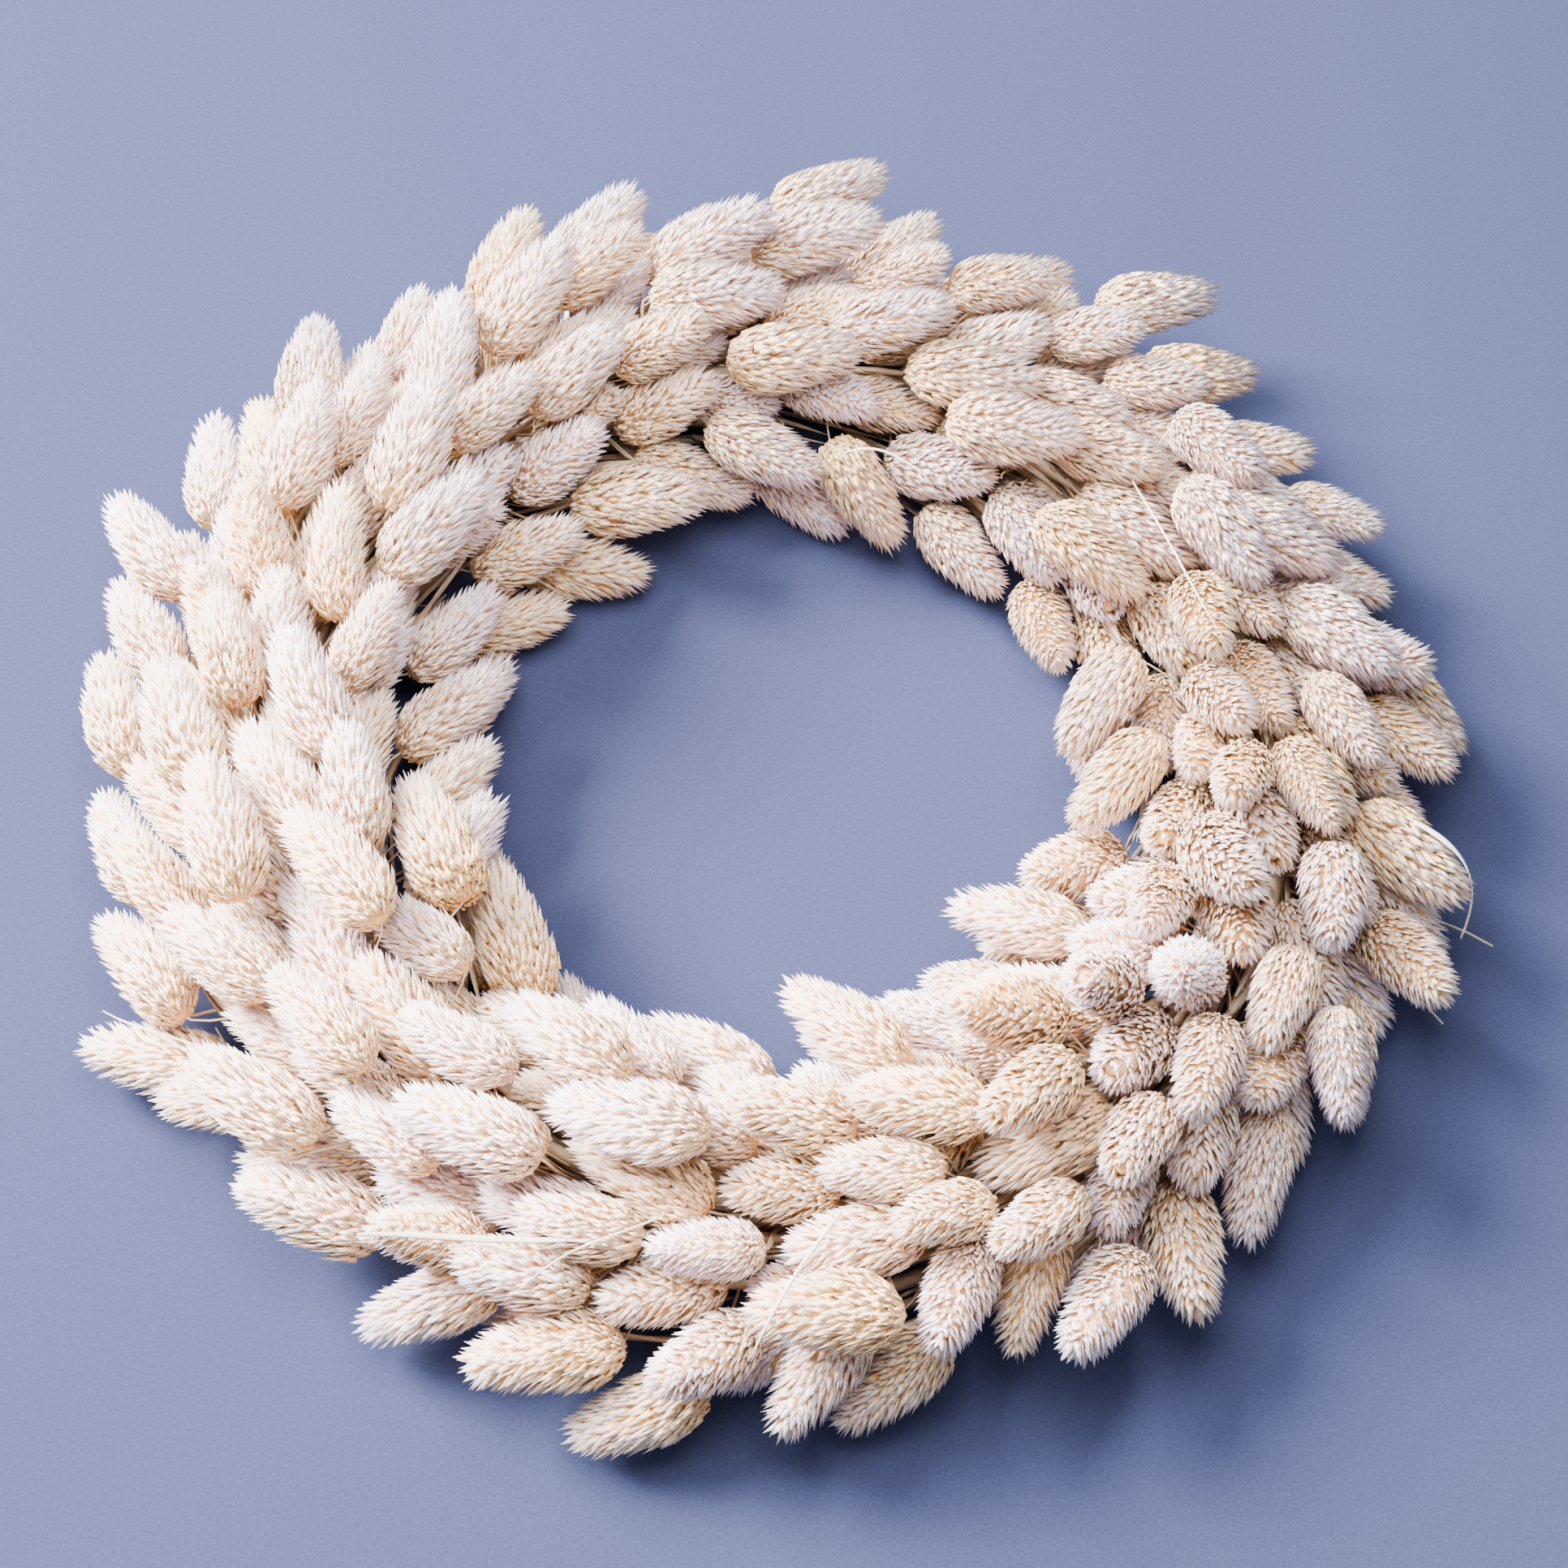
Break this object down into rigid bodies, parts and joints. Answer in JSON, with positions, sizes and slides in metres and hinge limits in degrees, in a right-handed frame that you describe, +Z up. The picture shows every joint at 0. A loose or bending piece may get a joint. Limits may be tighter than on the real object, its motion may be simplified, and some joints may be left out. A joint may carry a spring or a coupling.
{
  "type": "dried grass wreath",
  "caption": "Round wreath of bleached grass heads in small bunches, wired one behind the other round a metal hoop, with every tip laid the same way round.",
  "frame": {"origin": "on the table, under the middle of the wreath's box", "axes": "+Z up out of the table, through the wreath's hole; seen from above every tip points clockwise; -Y is the side nearest the viewer in the picture"},
  "size_m": [0.3609, 0.3559, 0.0653],
  "materials": {
    "bleached_heads": "bleached dry grass, matt, creamy white with warm apricot between the spikelets",
    "hoop_steel": "plain drawn rod",
    "wire_steel": "thin annealed wire"
  },
  "bodies": {
    "root": {"base_ring": "hoop_steel", "binding_wire": "wire_steel", "bunch_01": "bleached_heads", "bunch_02": "bleached_heads", "bunch_03": "bleached_heads", "bunch_04": "bleached_heads", "bunch_05": "bleached_heads", "bunch_06": "bleached_heads", "bunch_07": "bleached_heads", "bunch_08": "bleached_heads", "bunch_09": "bleached_heads", "bunch_10": "bleached_heads", "bunch_11": "bleached_heads", "bunch_12": "bleached_heads", "bunch_13": "bleached_heads", "bunch_14": "bleached_heads", "bunch_15": "bleached_heads", "bunch_16": "bleached_heads", "bunch_17": "bleached_heads", "bunch_18": "bleached_heads", "bunch_19": "bleached_heads", "bunch_20": "bleached_heads", "bunch_21": "bleached_heads", "bunch_22": "bleached_heads", "bunch_23": "bleached_heads", "bunch_24": "bleached_heads", "bunch_25": "bleached_heads", "bunch_26": "bleached_heads", "bunch_27": "bleached_heads", "bunch_28": "bleached_heads", "bunch_29": "bleached_heads", "bunch_30": "bleached_heads", "bunch_31": "bleached_heads", "bunch_32": "bleached_heads", "bunch_33": "bleached_heads"}
  },
  "joints": []
}
